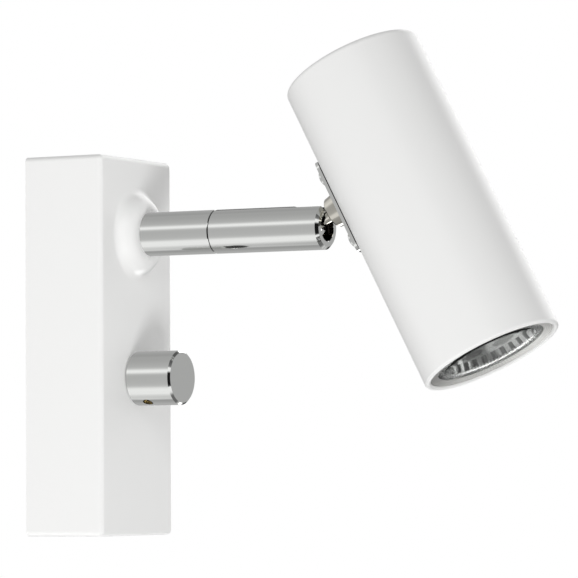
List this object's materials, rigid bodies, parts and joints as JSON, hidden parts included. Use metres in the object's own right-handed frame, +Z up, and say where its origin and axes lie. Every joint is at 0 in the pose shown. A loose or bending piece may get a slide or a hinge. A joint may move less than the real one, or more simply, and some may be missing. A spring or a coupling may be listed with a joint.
{
  "type": "spotlight wall light",
  "caption": "Wall spotlight: a cylindrical lamp head on a ball-jointed arm that swivels, tilts and turns, on an upright rectangular wall box with a rotary dimmer knob.",
  "frame": {"origin": "centre of the wall box's back, on the wall", "axes": "+Y into the wall, +Z up, +X to the right of someone facing the light"},
  "size_m": [0.06, 0.2287, 0.2073],
  "materials": {
    "box_coat": "satin",
    "tube_coat": "satin",
    "chrome_plate": "polished",
    "zinc_steel": "satin",
    "spring_steel": "satin",
    "turned_brass": "satin",
    "shaft_alloy": "satin",
    "grommet_rubber": "matte",
    "block_plastic": "matte",
    "dimmer_plastic": "matte",
    "lead_cover": "satin",
    "holder_ceramic": "matte",
    "reflector_mirror": "polished",
    "ring_alloy": "satin",
    "lamp_glass": "polished"
  },
  "bodies": {
    "root": {"wall_plate": "zinc_steel", "housing": "box_coat", "cover_screws": "box_coat", "cable_grommet": "grommet_rubber", "terminal_block": "block_plastic", "terminal_screws": "turned_brass", "terminal_fixing_screw": "zinc_steel", "earth_screw": "turned_brass", "earth_washer": "turned_brass", "dimmer_body": "dimmer_plastic", "dimmer_washer": "zinc_steel", "dimmer_nut": "zinc_steel", "arm_base": "chrome_plate", "arm_nipple": "turned_brass", "arm_washer": "zinc_steel", "arm_nut": "zinc_steel", "snap_ring": "spring_steel", "supply_leads": "lead_cover", "dimmer_leads": "lead_cover"},
    "arm_front": {"arm_sleeve": "chrome_plate", "arm_plug": "turned_brass", "swivel_washer": "block_plastic", "disc_springs": "spring_steel", "ball_seat": "block_plastic", "arm_leads": "lead_cover"},
    "ball": {"ball": "chrome_plate"},
    "head": {"ball_stem": "chrome_plate", "saddle_plate": "chrome_plate", "saddle_screws": "chrome_plate", "stem_nut": "zinc_steel", "lamp_tube": "tube_coat", "lamp_bracket": "zinc_steel", "lamp_holder": "holder_ceramic", "holder_screws": "zinc_steel", "lamp_leads": "lead_cover", "lamp_reflector": "reflector_mirror", "lamp_ring": "ring_alloy", "lamp_glass": "lamp_glass", "lamp_base": "holder_ceramic", "lamp_pins": "turned_brass", "lamp_burner": "lamp_glass"},
    "knob": {"knob": "chrome_plate", "knob_grub_screw": "zinc_steel", "dimmer_shaft": "shaft_alloy"}
  },
  "joints": [
    {"name": "arm_swivel", "type": "hinge", "parent": "root", "child": "arm_front", "pos_m": [0, -0.07615, 0.0475], "axis": [0, 1, 0], "range_deg": [-170, 170]},
    {"name": "head_tilt", "type": "hinge", "parent": "arm_front", "child": "ball", "pos_m": [0, -0.1195, 0.0475], "axis": [-1, 0, 0], "range_deg": [-35.4, 62.6]},
    {"name": "head_turn", "type": "hinge", "parent": "ball", "child": "head", "pos_m": [0, -0.1195, 0.0475], "axis": [0, -0.8878, 0.4602], "range_deg": [-120, 120]},
    {"name": "dimmer_turn", "type": "hinge", "parent": "root", "child": "knob", "pos_m": [0, -0.0378, -0.0135], "axis": [0, 1, 0], "range_deg": [0, 300]}
  ]
}
